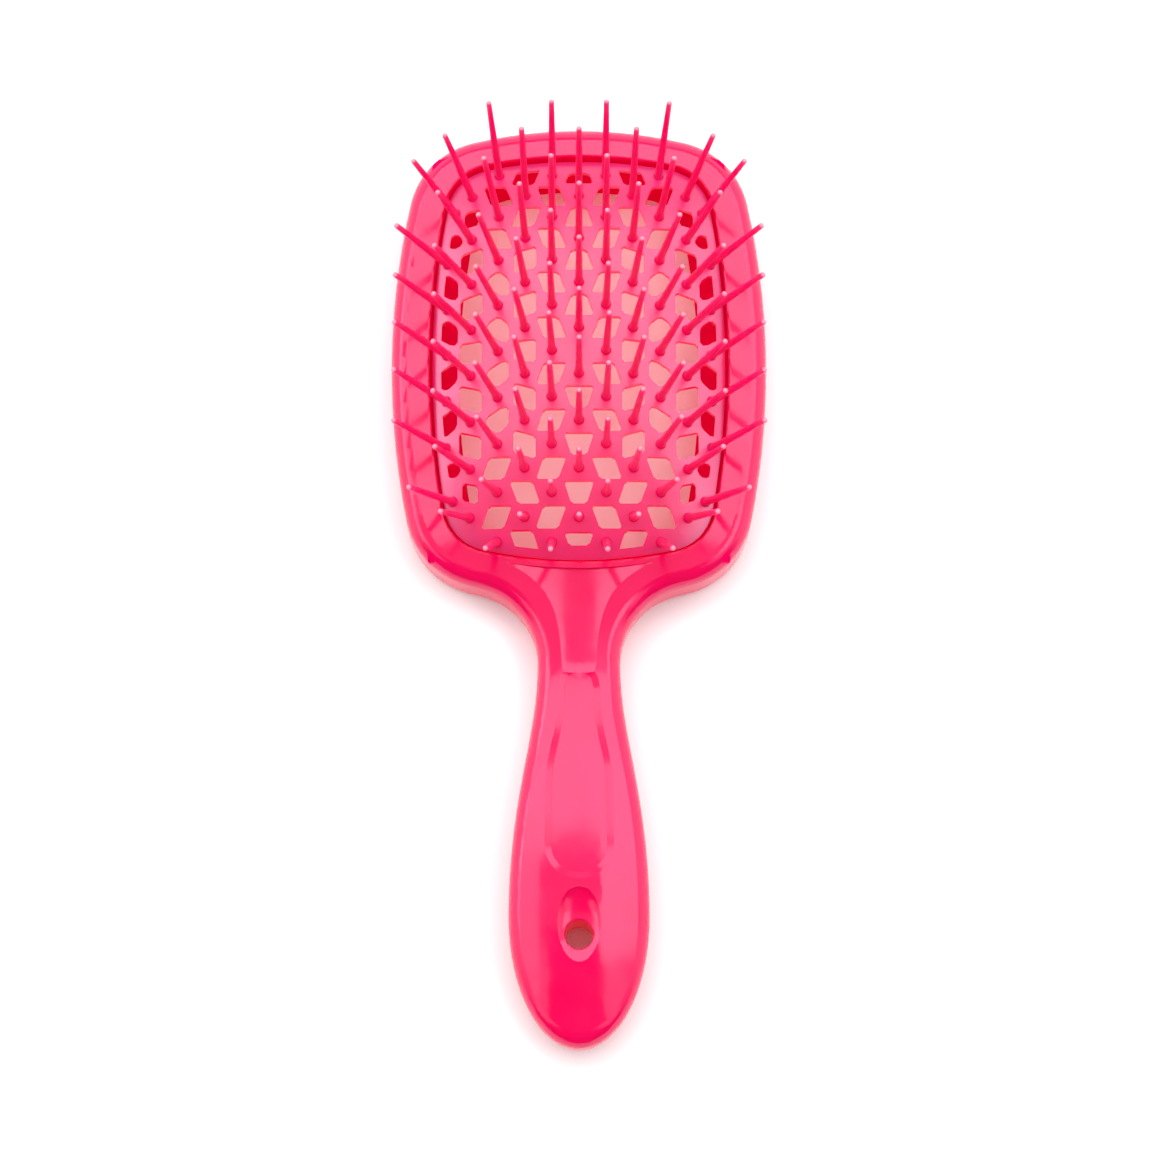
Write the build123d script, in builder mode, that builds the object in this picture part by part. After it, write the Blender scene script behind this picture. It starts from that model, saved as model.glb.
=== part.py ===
from build123d import *
import os
from math import atan, cos, degrees, exp, pi, sqrt, tanh

# Vented paddle brush: a one-piece glossy frame (head ring and handle), a domed
# vent grid that snaps into the ring, and eleven columns of styling pins.
#
# Frame of reference: +Y runs from the handle to the head, +X to the right seen
# from the pin side, +Z up through the pins.  The back of the ring is on Z = 0
# and the origin is below the middle of the brush's length.  The hub is the
# middle of the head.  All lengths are mm.

# ---------------------------------------------------------------- head outline
HEAD_HALF_WIDTH = 44.0        # widest point of the ring, level with the hub
HEAD_HALF_LENGTH = 57.5       # hub to the far end of the head
HEAD_NEAR_EXTRA = 0.5         # the near end, under the neck, lies further out
HEAD_SIDE_BULGE = 6.7         # how far each side bulges out between its corners
HEAD_END_BULGE = 6.9
HEAD_CORNER_RADIUS = 20.0

# --------------------------------------------------------------------- handle
HANDLE_LENGTH = 102.5         # near end of the head to the tail
TAIL_LENGTH = 29.5            # widest part of the grip to the tail
NECK_DISTANCE = 14.7          # near end of the head to the narrowest part
NECK_HALF_WIDTH = 9.5
GRIP_HALF_WIDTH = 15.9
SWELL_PLACE = 0.434           # where, from neck to grip, the swelling is half done

# -------------------------------------------------------------- frame section
RING_HEIGHT = 14.0            # back face to front face of the ring
NECK_DIP = 0.6                # the neck's front lies below the ring's
GRIP_SWELL = 3.0              # the grip's front stands above it
TAIL_DROP = 4.0               # and the tail's front falls away below it
NECK_LIFT = 1.6               # the neck's back stands off the table
TAIL_LIFT = 3.6
RING_FLAT_END = 4.6           # the ring stays flat up to here before its corners
CROWN_FULL = 9.3              # neck to the place where the handle is fully crowned
CREST_TO_GRIP = 9.0           # highest place of the front to the grip's widest
REST_TO_GRIP = 7.0            # lowest place of the back to the same
FALL_PAST_TAIL = 15.5         # the faces would go on falling this far past the tail
CROWN_WIDTH = 16.0            # half width over which the handle's faces curve
FRONT_CROWN_DROP = 5.4        # how far they fall from the middle to there
NECK_BACK_CROWN_DROP = 3.8
GRIP_BACK_CROWN_DROP = 4.6
TAIL_BACK_CROWN_DROP = 3.6
FRONT_ROUND = 4.0             # rounding of the outer front edge
BACK_ROUND = 2.4              # rounding of the outer back edge
LIP_ROUND = 0.5               # rounding of the window's front edge
REST_CUT = 0.05               # cut off the back, so that it lies flat

# ------------------------------------------------------------- window and seat
SIDE_BAND = 9.0               # width of the ring beside the window
END_BAND = 7.8                # and beyond its ends
WINDOW_SIDE_BULGE = 5.0
WINDOW_END_BULGE = 4.4
WINDOW_CORNER_RADIUS = 12.0
SEAT_WIDTH = 1.1              # ledge that carries the edge of the grid
LEDGE_THICKNESS = 1.3
WALL_LEAN_SIDE = 5.2          # how far the opening's walls lean in towards the back
WALL_LEAN_END = 2.1

# ------------------------------------------------------------------- vent grid
GRID_GAP = 0.7                # all round, between the grid and the window
HUB_STAND = 3.8               # the top of the dome stands above the ring
GRID_RISE = 5.7               # how far it stands above the grid's own edge
GRID_THICKNESS = 1.5
DOME_POWER = 3.0              # flat middle, falling ever faster to the edge
DOME_SQUARENESS = 4.5         # how square the dome's contour lines are
RIM_WIDTH = 1.2               # thickened edge below the dome
RIM_HEIGHT = 0.9
HOLE_BORDER = 2.0             # solid edge outside the outermost holes
HOLE_CORNER = 0.6             # flat across the holes' corners

# ----------------------------------------------------------------------- snaps
HOOK_WIDTH = 4.0
HOOK_THICKNESS = 1.2
HOOK_REACH = 0.6              # how far a hook catches below the ledge
HOOK_NOSE = 1.6
SNAP_CLEARANCE = 0.2
SIDE_HOOK_ROW = 1             # hooks stand behind the outer pins of this row
END_HOOK_COLUMN = 1           # and beyond the end pins of this column

# ------------------------------------------------------------------------ pins
SIDE_MARGIN = 2.8             # outermost column's line to the edge of the grid
END_MARGIN = 4.0              # last row's line to the edge of the grid
OUTER_STEP_IN = 0.6           # the outermost column stands in from its line
END_PIN_STEP_X = 1.7          # its end pins step in further, round the corner
END_PIN_STEP_Y = 1.65         # and away from the hub
COLUMN_ENDS = [3.5, 4.0, 3.5, 4.0, 3.5, 3.0]
PIN_LENGTH = 26.8
PIN_FOOT_RADIUS = 1.3
PIN_FOOT_HEIGHT = 0.8
PIN_ROOT_RADIUS = 0.95
PIN_TIP_RADIUS = 0.62
PIN_TIP_HEIGHT = 0.35         # rounding of the tip
PIN_END_RADIUS = 0.34
PIN_SIDES = 8
PIN_LEAN = 1.12               # the pins lean out a little more than the dome
PIN_SEAT = 0.02               # clearance under a foot

# ------------------------------------------------------------- handle details
TROUGH_LIP = 1.6              # width of the lip between the window and the trough
TROUGH_DEPTH = 0.9
TROUGH_WIDE = 17.5            # half width of the trough beside the window
TROUGH_NARROW = 3.7           # and along the neck
TROUGH_TAPER = 6.0            # length in which it does most of its narrowing
TROUGH_INTO_RECESS = 9.0      # how far the trough reaches into the thumb recess
TROUGH_RUN_OUT = 11.0         # length in which its floor rises again there
TROUGH_STEP = 2.0
RECESS_FROM_NECK = 2.8        # narrowest part of the neck to the thumb recess
RECESS_TO_HOLE = 13.7         # round end of the recess to the hanging hole
RECESS_HALF_WIDTH = 6.3       # of its floor
RECESS_SHOULDER_X = 3.4       # half width beside its narrow end
RECESS_SHOULDER_Y = 7.0       # and how far that is from the end
RECESS_SPREAD_X = 5.3         # half width where it has almost spread
RECESS_SPREAD_Y = 19.0        # and how far that is from the end
RECESS_DEPTH = 0.7
RECESS_BEVEL = 1.5            # width of the sloping edge round the floor
RECESS_BEVEL_DEPTH = 0.6
HANG_HOLE_TO_TAIL = 24.8
HANG_HOLE_RADIUS = 3.2
HANG_HOLE_ROUND = 0.5
SCOOP_HALF_WIDTH = 5.2
SCOOP_HALF_LENGTH = 9.3
SCOOP_DEPTH = 1.6

# ------------------------------------------------------------- derived values
# Places along the brush are distances from the hub towards the tail.
HEAD_NEAR_END = HEAD_HALF_LENGTH + HEAD_NEAR_EXTRA
HEAD_CORNER_X = HEAD_HALF_WIDTH - HEAD_SIDE_BULGE
HEAD_CORNER_Y = HEAD_HALF_LENGTH - HEAD_END_BULGE
TAIL = HEAD_NEAR_END + HANDLE_LENGTH
NECK = HEAD_NEAR_END + NECK_DISTANCE
GRIP = TAIL - TAIL_LENGTH
HANG_HOLE = TAIL - HANG_HOLE_TO_TAIL
RECESS_START = NECK + RECESS_FROM_NECK
RECESS_END = HANG_HOLE - RECESS_TO_HOLE
TROUGH_END = RECESS_START + TROUGH_INTO_RECESS
BRUSH_LENGTH = HEAD_HALF_LENGTH + TAIL
HUB_Y = BRUSH_LENGTH / 2 - HEAD_HALF_LENGTH

WINDOW_HALF_WIDTH = HEAD_HALF_WIDTH - SIDE_BAND
WINDOW_HALF_LENGTH = HEAD_HALF_LENGTH - END_BAND
WINDOW_CORNER_X = WINDOW_HALF_WIDTH - WINDOW_SIDE_BULGE
WINDOW_CORNER_Y = WINDOW_HALF_LENGTH - WINDOW_END_BULGE
GRID_HALF_WIDTH = WINDOW_HALF_WIDTH - GRID_GAP
GRID_HALF_LENGTH = WINDOW_HALF_LENGTH - GRID_GAP
GRID_TOP = RING_HEIGHT + HUB_STAND
SEAT_Z = GRID_TOP - GRID_RISE - GRID_THICKNESS
OPENING_INSET = GRID_GAP + SEAT_WIDTH
UNDER_LEDGE_Z = SEAT_Z - LEDGE_THICKNESS
HOOK_TOP = SEAT_Z + GRID_THICKNESS
HOOK_BOTTOM = UNDER_LEDGE_Z - SNAP_CLEARANCE - HOOK_NOSE

COLUMN_PITCH = (GRID_HALF_WIDTH - SIDE_MARGIN) / 5
ROW_PITCH = (GRID_HALF_LENGTH - END_MARGIN) / 4
COLUMN_X = [i * COLUMN_PITCH for i in range(5)] + [5 * COLUMN_PITCH - OUTER_STEP_IN]
TALL = 60.0                   # past everything, for cutting through
PAST_FRAME = (200.0, 400.0)   # width and length of a rectangle past everything
BELOW_BACK = -1.0             # a level clear of the back


def bulge_radius(middle, corner, half_span):
    """Radius of the arc that bulges from a corner out to the middle of a side."""
    sagitta = middle - corner
    return (sagitta ** 2 + half_span ** 2) / (2 * sagitta)


def rounded_corner(half_width, end, corner_x, corner_y, radius, inset=0.0):
    """The corner between a side's arc and an end's arc, with everything drawn in.

    Gives the end of the side's arc, the middle of the rounding and the end of
    the end's arc, measured from the hub.
    """
    side = bulge_radius(half_width, corner_x, corner_y)
    cap = bulge_radius(end, corner_y, corner_x)
    side_centre = Vector(half_width - side, 0)
    cap_centre = Vector(0, end - cap)
    forward = (cap_centre - side_centre).normalized()
    outward = Vector(-forward.Y, forward.X)
    apart = (cap_centre - side_centre).length
    along = (apart ** 2 + (side - radius) ** 2 - (cap - radius) ** 2) / (2 * apart)
    centre = side_centre + forward * along + outward * sqrt((side - radius) ** 2 - along ** 2)
    to_side = (centre - side_centre).normalized()
    to_cap = (centre - cap_centre).normalized()
    reach = radius - inset
    return (centre + to_side * reach, centre + (to_side + to_cap).normalized() * reach,
            centre + to_cap * reach)


def on_brush(place, side=1, end=1):
    """A place measured from the hub, in the quarter that side and end name."""
    return side * place.X, HUB_Y + end * place.Y


def bulged_face(half_width, half_length, corner_x, corner_y, radius, inset=0.0):
    """Four shallow arcs through the middle of each side, corners rounded."""
    corner = rounded_corner(half_width, half_length, corner_x, corner_y, radius, inset)
    side_stop, corner_middle, end_stop = corner
    with BuildSketch() as sketch:
        with BuildLine():
            for one in (1, -1):
                ThreePointArc(on_brush(side_stop, one, 1), (one * (half_width - inset), HUB_Y),
                              on_brush(side_stop, one, -1))
                ThreePointArc(on_brush(end_stop, -1, one),
                              (0, HUB_Y + one * (half_length - inset)),
                              on_brush(end_stop, 1, one))
                for end in (1, -1):
                    ThreePointArc(on_brush(side_stop, one, end),
                                  on_brush(corner_middle, one, end),
                                  on_brush(end_stop, one, end))
        make_face()
    return sketch.sketch


def window_face(inset):
    """The window's outline, drawn in by an inset."""
    return bulged_face(WINDOW_HALF_WIDTH, WINDOW_HALF_LENGTH, WINDOW_CORNER_X,
                       WINDOW_CORNER_Y, WINDOW_CORNER_RADIUS, inset)


def opening_face(lean):
    """The opening below the ledge, its walls leaning in by a part of their lean."""
    side = WALL_LEAN_SIDE * lean
    end = WALL_LEAN_END * lean
    return bulged_face(WINDOW_HALF_WIDTH - side, WINDOW_HALF_LENGTH - end,
                       WINDOW_CORNER_X - side, WINDOW_CORNER_Y - end,
                       WINDOW_CORNER_RADIUS, OPENING_INSET)


def window_edge_x(y, inset=0.0):
    """Half width of the window, drawn in by an inset, y away from the hub."""
    radius = bulge_radius(WINDOW_HALF_WIDTH, WINDOW_CORNER_X, WINDOW_CORNER_Y)
    return WINDOW_HALF_WIDTH - radius + sqrt((radius - inset) ** 2 - y ** 2)


def window_edge_y(x, inset=0.0):
    """Half length of the window, drawn in by an inset, x away from the axis."""
    radius = bulge_radius(WINDOW_HALF_LENGTH, WINDOW_CORNER_Y, WINDOW_CORNER_X)
    return WINDOW_HALF_LENGTH - radius + sqrt((radius - inset) ** 2 - x ** 2)


def hook_places():
    """Planes across each hook: X outwards, Y up, from the ledge's inner edge."""
    places = []
    inset = OPENING_INSET + SNAP_CLEARANCE
    row_y = SIDE_HOOK_ROW * ROW_PITCH
    column_x = COLUMN_X[END_HOOK_COLUMN]
    for side in (1, -1):
        for end in (1, -1):
            at_side = Vector(side * window_edge_x(row_y, inset), HUB_Y + end * row_y, 0)
            at_end = Vector(side * column_x, HUB_Y + end * window_edge_y(column_x, inset), 0)
            places.append(Plane(origin=at_side, x_dir=(side, 0, 0), z_dir=(0, -side, 0)))
            places.append(Plane(origin=at_end, x_dir=(0, end, 0), z_dir=(end, 0, 0)))
    return places


# ============================================================ the dome's shape
def dome_radius(x, y):
    """Place between the hub (0) and the grid's edge (1)."""
    u = abs(x) / GRID_HALF_WIDTH
    v = abs(y) / GRID_HALF_LENGTH
    return (u ** DOME_SQUARENESS + v ** DOME_SQUARENESS) ** (1 / DOME_SQUARENESS)


def dome_height(x, y):
    """Height of the dome's top, x and y away from the hub."""
    return GRID_TOP - GRID_RISE * dome_radius(x, y) ** DOME_POWER


def dome_slope(x, y):
    """Slopes of the dome along X and Y."""
    step = 0.01
    along_x = (dome_height(x + step, y) - dome_height(x - step, y)) / (2 * step)
    along_y = (dome_height(x, y + step) - dome_height(x, y - step)) / (2 * step)
    return along_x, along_y


# ====================================================================== frame
# The side profile as stations: distance from the hub towards the tail, and the
# value there.  Between two stations the value eases from one to the next.
RING_STOP = HEAD_CORNER_Y - RING_FLAT_END
CROWN_STOP = NECK + CROWN_FULL
CREST = GRIP - CREST_TO_GRIP
REST = GRIP - REST_TO_GRIP
PAST_TAIL = TAIL + FALL_PAST_TAIL
FRONT_LINE = [(RING_STOP, RING_HEIGHT), (NECK, RING_HEIGHT - NECK_DIP),
              (CREST, RING_HEIGHT + GRIP_SWELL), (PAST_TAIL, RING_HEIGHT - TAIL_DROP)]
BACK_LINE = [(RING_STOP, 0.0), (CROWN_STOP, NECK_LIFT), (REST, -REST_CUT), (PAST_TAIL, TAIL_LIFT)]
FRONT_CROWN = [(RING_STOP, 0.0), (CROWN_STOP, FRONT_CROWN_DROP), (PAST_TAIL, FRONT_CROWN_DROP)]
BACK_CROWN = [(RING_STOP, 0.0), (CROWN_STOP, NECK_BACK_CROWN_DROP),
              (REST, GRIP_BACK_CROWN_DROP), (PAST_TAIL, TAIL_BACK_CROWN_DROP)]
SURFACE_STEP = 4.0
SURFACE_MARGIN = 6.0
JOIN = RING_STOP - 3 * SURFACE_STEP     # the ring ends and the handle's body starts
JOIN_TOLERANCE = 0.005


def eased(stations, along):
    """Value at a distance from the hub towards the tail."""
    if along <= stations[0][0]:
        return stations[0][1]
    for (start, low), (end, high) in zip(stations, stations[1:]):
        if along <= end:
            part = (along - start) / (end - start)
            return low + (high - low) * part * part * (3 - 2 * part)
    return stations[-1][1]


def crown(x):
    """Share of the crown's drop that is reached x away from the axis."""
    return tanh((x / CROWN_WIDTH) ** 2)


def front_height(x, along):
    """Height of the front, x from the axis and along from the hub."""
    return eased(FRONT_LINE, along) - eased(FRONT_CROWN, along) * crown(x)


def back_height(x, along):
    """Height of the back, x from the axis and along from the hub."""
    return eased(BACK_LINE, along) + eased(BACK_CROWN, along) * crown(x)


def trough_floor(x, along):
    """Height of the neck's trough, hollow across and rising to its ends."""
    half_width = TROUGH_NARROW + (TROUGH_WIDE - TROUGH_NARROW) * exp(
        (WINDOW_HALF_LENGTH - along) / TROUGH_TAPER)
    run_out = eased([(TROUGH_END - TROUGH_RUN_OUT, 0.0), (TROUGH_END, 1.0)], along)
    return front_height(x, along) + TROUGH_DEPTH * ((x / half_width) ** 2 - 1 + 2 * run_out)


def recess_floor(x, along):
    """Height of the thumb recess's floor, which follows the handle's front."""
    return front_height(x, along) - RECESS_DEPTH


def skin(height, half=HEAD_HALF_WIDTH + SURFACE_MARGIN, start=JOIN,
         stop=TAIL + SURFACE_MARGIN, step=SURFACE_STEP):
    """A face at that height, over a stretch of the handle measured from the hub."""
    across = 2 * round(half / step)
    count = round((stop - start) / step)
    rows = []
    for i in range(across + 1):
        x = half * (2 * i / across - 1)
        places = [start + (stop - start) * j / count for j in range(count + 1)]
        rows.append([Vector(x, HUB_Y - along, height(x, along)) for along in places])
    return Face.make_surface_from_array_of_points(rows)


def above(face):
    """Everything over a face, to be cut away or to be kept."""
    return Solid.extrude(face, Vector(0, 0, TALL))


def below(face):
    """Everything under a face."""
    return Solid.extrude(face, Vector(0, 0, -TALL))


def neck_blend():
    """Start, middle and end of the hollow arc from the head's end to the neck."""
    cap = bulge_radius(HEAD_NEAR_END, HEAD_CORNER_Y, HEAD_CORNER_X)
    cap_centre = Vector(0, HEAD_NEAR_END - cap)
    radius = ((NECK_HALF_WIDTH ** 2 + (NECK - cap_centre.Y) ** 2 - cap ** 2)
              / (2 * (cap - NECK_HALF_WIDTH)))
    centre = Vector(NECK_HALF_WIDTH + radius, NECK)
    to_head = (cap_centre - centre).normalized()
    to_neck = Vector(-1, 0)
    return [centre + way * radius for way in (to_head, (to_head + to_neck).normalized(), to_neck)]


def frame_face():
    """The whole outline: the head, its blends into the neck, and the handle."""
    corner_sizes = (HEAD_CORNER_X, HEAD_CORNER_Y, HEAD_CORNER_RADIUS)
    far = rounded_corner(HEAD_HALF_WIDTH, HEAD_HALF_LENGTH, *corner_sizes)
    near = rounded_corner(HEAD_HALF_WIDTH, HEAD_NEAR_END, *corner_sizes)
    blend = neck_blend()
    cap = bulge_radius(HEAD_NEAR_END, HEAD_CORNER_Y, HEAD_CORNER_X)
    cap_x = (near[2].X + blend[0].X) / 2
    cap_middle = Vector(cap_x, HEAD_NEAR_END - cap + sqrt(cap ** 2 - cap_x ** 2))
    swell_x = (NECK_HALF_WIDTH + GRIP_HALF_WIDTH) / 2
    swell_y = HUB_Y - NECK - SWELL_PLACE * (GRIP - NECK)
    with BuildSketch() as sketch:
        with BuildLine():
            ThreePointArc(on_brush(far[2], -1), (0, HUB_Y + HEAD_HALF_LENGTH), on_brush(far[2]))
            for side in (1, -1):
                ThreePointArc(*[on_brush(place, side) for place in far])
                ThreePointArc(on_brush(far[0], side), (side * HEAD_HALF_WIDTH, HUB_Y),
                              on_brush(near[0], side, -1))
                for arc in (near, (near[2], cap_middle, blend[0]), blend):
                    ThreePointArc(*[on_brush(place, side, -1) for place in arc])
                Spline((side * NECK_HALF_WIDTH, HUB_Y - NECK), (side * swell_x, swell_y),
                       (side * GRIP_HALF_WIDTH, HUB_Y - GRIP), tangents=[(0, -1), (0, -1)])
            EllipticalCenterArc((0, HUB_Y - GRIP), GRIP_HALF_WIDTH, TAIL_LENGTH, 180,
                                arc_size=180)
        make_face()
    return sketch.sketch


def outer_edges(face):
    """Edges of a face, without those that lie in the join."""
    return [e for e in face.edges() if abs(e.center().Y - HUB_Y + JOIN) > JOIN_TOLERANCE]


with BuildPart() as ring:
    with BuildSketch():
        add(frame_face())
        with Locations((0, HUB_Y - JOIN)):
            Rectangle(*PAST_FRAME, align=(Align.CENTER, Align.MAX), mode=Mode.SUBTRACT)
    extrude(amount=RING_HEIGHT)
    fillet(outer_edges(ring.faces().sort_by(Axis.Z)[-1]), FRONT_ROUND)
    fillet(outer_edges(ring.faces().sort_by(Axis.Z)[0]), BACK_ROUND)

with BuildPart() as handle:
    with BuildSketch(Plane.XY.offset(-TALL / 2)):
        add(frame_face())
        with Locations((0, HUB_Y - JOIN)):
            Rectangle(*PAST_FRAME, align=(Align.CENTER, Align.MIN), mode=Mode.SUBTRACT)
    extrude(amount=TALL)
    add(above(skin(front_height)), mode=Mode.SUBTRACT)
    add(below(skin(back_height)), mode=Mode.SUBTRACT)
    fillet(outer_edges(handle.faces().sort_by(Axis.Z)[-1]), FRONT_ROUND)
    fillet(outer_edges(handle.faces().sort_by(Axis.Z)[0]), BACK_ROUND)

with BuildPart() as trough:
    add(above(skin(trough_floor, TROUGH_WIDE + SURFACE_MARGIN, WINDOW_HALF_LENGTH,
                   TROUGH_END, TROUGH_STEP)))
    with BuildSketch():
        add(window_face(-TROUGH_LIP))
    extrude(amount=TALL, mode=Mode.SUBTRACT)

with BuildPart() as recess:
    with BuildSketch():
        with BuildLine():
            round_y = HUB_Y - RECESS_END + RECESS_HALF_WIDTH
            flank = Spline((0, HUB_Y - RECESS_START),
                           (RECESS_SHOULDER_X, HUB_Y - RECESS_START - RECESS_SHOULDER_Y),
                           (RECESS_SPREAD_X, HUB_Y - RECESS_START - RECESS_SPREAD_Y),
                           (RECESS_HALF_WIDTH, round_y),
                           tangents=[(1, 0), (0, -1)])
            bottom = CenterArc((0, round_y), RECESS_HALF_WIDTH, 270, 90)
            Line(bottom @ 0, flank @ 0)
        make_face()
        mirror(about=Plane.YZ)
    extrude(amount=TALL)
    add(above(skin(recess_floor)), mode=Mode.INTERSECT)

with BuildPart() as scoop:
    section = sqrt(1 - 0.5 ** 2)
    Sphere(1)
    scale(by=(SCOOP_HALF_WIDTH / section, SCOOP_HALF_LENGTH / section, 2 * SCOOP_DEPTH))
scoop_height = front_height(0, HANG_HOLE) + SCOOP_DEPTH
scoop.part.locate(Location((0, HUB_Y - HANG_HOLE, scoop_height)))

with BuildPart() as frame:
    add(ring.part.fuse(handle.part, tol=JOIN_TOLERANCE))

    # Window: a straight-walled well down to the ledge, then the opening through
    # the back, whose wall leans in.
    with BuildSketch(Plane.XY.offset(SEAT_Z)):
        add(window_face(0))
    extrude(amount=TALL, mode=Mode.SUBTRACT)
    with BuildSketch(Plane.XY.offset(UNDER_LEDGE_Z)):
        add(window_face(OPENING_INSET))
    extrude(amount=TALL, mode=Mode.SUBTRACT)
    for height, lean in ((UNDER_LEDGE_Z, 0.0), (BELOW_BACK, 1.0)):
        with BuildSketch(Plane.XY.offset(height)):
            add(opening_face(lean))
    loft(ruled=True, mode=Mode.SUBTRACT)

    lip = [e for e in frame.edges()
           if abs(e.center().Z - RING_HEIGHT) < LIP_ROUND
           and abs(e.center().X) < WINDOW_HALF_WIDTH + LIP_ROUND
           and abs(e.center().Y - HUB_Y) < WINDOW_HALF_LENGTH + LIP_ROUND]
    fillet(lip, LIP_ROUND)

    # Pockets under the ledge for the grid's hooks.
    for place in hook_places():
        with BuildSketch(place):
            with BuildLine():
                Polyline((-HOOK_THICKNESS - 2 * SNAP_CLEARANCE, UNDER_LEDGE_Z),
                         (HOOK_REACH + SNAP_CLEARANCE, UNDER_LEDGE_Z),
                         (HOOK_REACH + SNAP_CLEARANCE, HOOK_BOTTOM - SNAP_CLEARANCE),
                         (-HOOK_THICKNESS - 2 * SNAP_CLEARANCE, HOOK_BOTTOM - SNAP_CLEARANCE),
                         close=True)
            make_face()
        extrude(amount=HOOK_WIDTH / 2 + SNAP_CLEARANCE, both=True, mode=Mode.SUBTRACT)

    # Thumb recess, with a sloping edge, and the trough that leads to it.
    add(recess.part, mode=Mode.SUBTRACT)
    rim = [e for e in frame.edges()
           if RECESS_START - RECESS_BEVEL < HUB_Y - e.center().Y < RECESS_END + RECESS_BEVEL
           and abs(e.center().X) < RECESS_HALF_WIDTH + RECESS_BEVEL
           and e.center().Z > front_height(e.center().X, HUB_Y - e.center().Y)
           - RECESS_DEPTH / 4]
    beside = [f for f in frame.faces() if rim[0] in f.edges()]
    front_face = max(beside, key=lambda f: f.area)
    chamfer(rim, RECESS_BEVEL, RECESS_BEVEL_DEPTH, reference=front_face)

    add(trough.part, mode=Mode.SUBTRACT)

    # Hanging hole with its leaf-shaped scoop.
    add(scoop.part, mode=Mode.SUBTRACT)
    with BuildSketch(Plane.XY.offset(-TALL / 4)):
        with Locations((0, HUB_Y - HANG_HOLE)):
            Circle(HANG_HOLE_RADIUS)
    extrude(amount=TALL, mode=Mode.SUBTRACT)
    hole_rims = [e for e in frame.edges()
                 if abs(e.center().Y - HUB_Y + HANG_HOLE) < HANG_HOLE_RADIUS
                 and abs(e.center().X) < HANG_HOLE_RADIUS
                 and e.length > HANG_HOLE_RADIUS]
    fillet(hole_rims, HANG_HOLE_ROUND)

    # The back is cut flat, so that the brush lies steady.
    split(bisect_by=Plane.XY, keep=Keep.TOP)
frame.part.label = "frame"

# =================================================================== vent grid
DOME_STEPS_X = 16
DOME_STEPS_Y = 20
DOME_MARGIN = 3.0             # the dome's face is drawn this far past the grid
dome_half_x = GRID_HALF_WIDTH + DOME_MARGIN
dome_half_y = GRID_HALF_LENGTH + DOME_MARGIN
grid_x = [dome_half_x * (2 * i / DOME_STEPS_X - 1) for i in range(DOME_STEPS_X + 1)]
grid_y = [dome_half_y * (2 * i / DOME_STEPS_Y - 1) for i in range(DOME_STEPS_Y + 1)]
dome_points = [[Vector(x, HUB_Y + y, dome_height(x, y)) for y in grid_y] for x in grid_x]
dome = Face.make_surface_from_array_of_points(dome_points)

# Holes, as corner points measured outwards from the brush's axis and outwards
# from the hub's row, for the quarter where both are positive.
DRAWN_PITCH = (6.3, 11.25)    # columns and rows of the lattice they are drawn on
TRAPEZOID = [(-3.55, -2.65), (3.55, -2.65), (1.8, 2.65), (-1.8, 2.65)]
LEANING = [(-3.5, -2.65), (1.9, -2.65), (3.7, 2.65), (-1.5, 2.65)]
LEANING_BACK = [(-u, v) for u, v in LEANING]
UPRIGHT = [(2.6, -3.5), (-2.6, -2.0), (-2.6, 3.6), (2.6, 2.0)]
UPRIGHT_MIDDLE = [(2.6, -2.4), (-2.6, -2.9), (-2.6, 2.9), (2.6, 2.4)]
SIX_SIDED = [(2.6, -1.0), (-1.2, -3.5), (-2.6, -3.3), (-2.6, 1.0), (0.0, 3.2), (2.6, 1.3)]
SMALL = [(0.1, -0.9), (-1.3, -2.1), (-3.5, -1.1), (-3.5, 0.7), (-2.0, 2.0), (0.1, 1.0)]
UPRIGHT_END = [(1.8, -2.6), (-1.8, -1.8), (-1.8, 2.5), (1.8, 1.6)]
TRAPEZOID_END = [(-3.45, -2.2), (3.45, -2.2), (2.3, 0.8), (-2.3, 0.8)]

# (column, row) of every hole in one quarter with its shape.  Rows count pins
# outwards from the hub, so a hole midway between two pins has a half row.
HOLES = [(0, row, TRAPEZOID) for row in (1, 2, 3)] + [(0, 4, TRAPEZOID_END)]
HOLES += [(1, row, LEANING) for row in (0.5, 1.5, 2.5, 3.5)]
HOLES += [(2, 0, UPRIGHT_MIDDLE), (2, 1, UPRIGHT), (2, 2, UPRIGHT)]
HOLES += [(2, 3, LEANING_BACK), (2, 4, LEANING_BACK)]
HOLES += [(3, 0.5, SIX_SIDED), (3, 1.5, SIX_SIDED), (3, 2.5, LEANING), (3, 3.5, LEANING)]
HOLES += [(4, 0, UPRIGHT_MIDDLE), (4, 1, UPRIGHT), (4, 2, UPRIGHT), (4, 3, UPRIGHT_END)]
HOLES += [(5, 0.5, SIX_SIDED), (5, 1.5, SIX_SIDED), (5, 2.5, SMALL)]


def hole_corners(shape, column, row, side, end):
    """Corner points of one hole, in the quarter that side and end name."""
    stretch_x = COLUMN_PITCH / DRAWN_PITCH[0]
    stretch_y = ROW_PITCH / DRAWN_PITCH[1]
    corners = [(side * (COLUMN_X[column] + u * stretch_x),
                HUB_Y + end * (row * ROW_PITCH + v * stretch_y)) for u, v in shape]
    return corners if side * end > 0 else corners[::-1]


with BuildSketch() as vents:
    for column, row, shape in HOLES:
        for side in (1, -1):
            for end in (1, -1):
                if (column == 0 and side < 0) or (row == 0 and end < 0):
                    continue
                with BuildLine():
                    Polyline(*hole_corners(shape, column, row, side, end), close=True)
                make_face()
    chamfer(vents.vertices(), HOLE_CORNER)
    add(window_face(GRID_GAP + HOLE_BORDER), mode=Mode.INTERSECT)

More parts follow.
